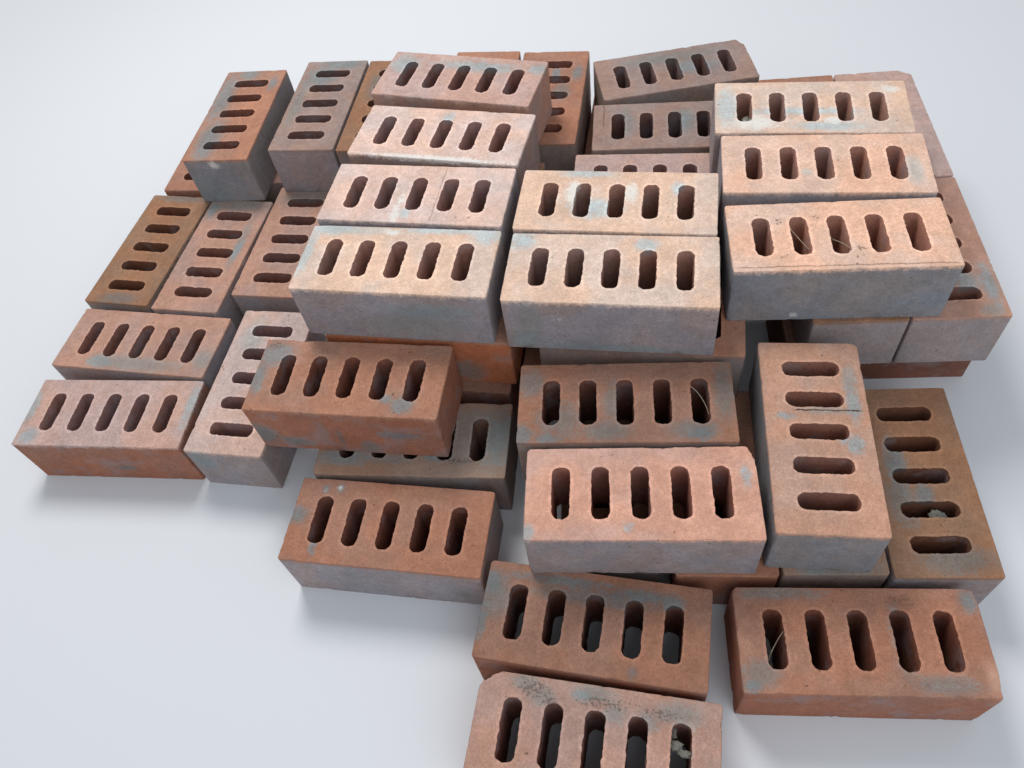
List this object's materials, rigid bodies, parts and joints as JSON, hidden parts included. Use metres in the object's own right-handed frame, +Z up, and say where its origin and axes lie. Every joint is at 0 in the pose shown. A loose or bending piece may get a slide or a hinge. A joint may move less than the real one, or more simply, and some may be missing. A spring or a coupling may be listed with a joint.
{
  "type": "stack of perforated bricks",
  "caption": "Loose dry stack of perforated clay bricks laid in courses, stretchers and headers, some askew, with a broken corner",
  "frame": {"origin": "middle of the stack's footprint, at floor level", "axes": "+X to the right along the stretchers of the middle block, +Y to the back of the stack, +Z up"},
  "size_m": [1.0622, 0.9436, 0.21],
  "materials": {
    "fired_clay": "matt sandy fired clay, terracotta with grey and salmon patches"
  },
  "bodies": {
    "root": {"base_back_1": "fired_clay", "base_back_2": "fired_clay", "base_back_3": "fired_clay", "base_back_4": "fired_clay", "base_back_left_1": "fired_clay", "base_back_left_2": "fired_clay", "base_back_left_3": "fired_clay", "base_back_left_4": "fired_clay", "base_broken": "fired_clay", "base_corner": "fired_clay", "base_front_1": "fired_clay", "base_front_2": "fired_clay", "base_front_3": "fired_clay", "base_front_right_1": "fired_clay", "base_front_right_2": "fired_clay", "base_front_right_3": "fired_clay", "base_front_right_4": "fired_clay", "base_inner": "fired_clay", "base_left_1": "fired_clay", "base_left_2": "fired_clay", "base_left_3": "fired_clay", "base_left_end": "fired_clay", "base_left_front_1": "fired_clay", "base_left_front_2": "fired_clay", "base_middle": "fired_clay", "base_right_1": "fired_clay", "base_right_2": "fired_clay", "base_right_3": "fired_clay", "base_right_4": "fired_clay", "second_back_1": "fired_clay", "second_back_2": "fired_clay", "second_back_3": "fired_clay", "second_back_4": "fired_clay", "second_back_5": "fired_clay", "second_back_left_1": "fired_clay", "second_back_left_2": "fired_clay", "second_back_left_3": "fired_clay", "second_front_1": "fired_clay", "second_front_2": "fired_clay", "second_front_3": "fired_clay", "second_inner": "fired_clay", "second_left": "fired_clay", "second_middle_1": "fired_clay", "second_middle_2": "fired_clay", "second_right_1": "fired_clay", "second_right_2": "fired_clay", "second_right_3": "fired_clay", "second_right_4": "fired_clay", "top_middle_1": "fired_clay", "top_middle_2": "fired_clay", "top_middle_3": "fired_clay", "top_middle_4": "fired_clay", "top_middle_5": "fired_clay", "top_middle_6": "fired_clay", "top_right_1": "fired_clay", "top_right_2": "fired_clay", "top_right_3": "fired_clay"}
  },
  "joints": []
}
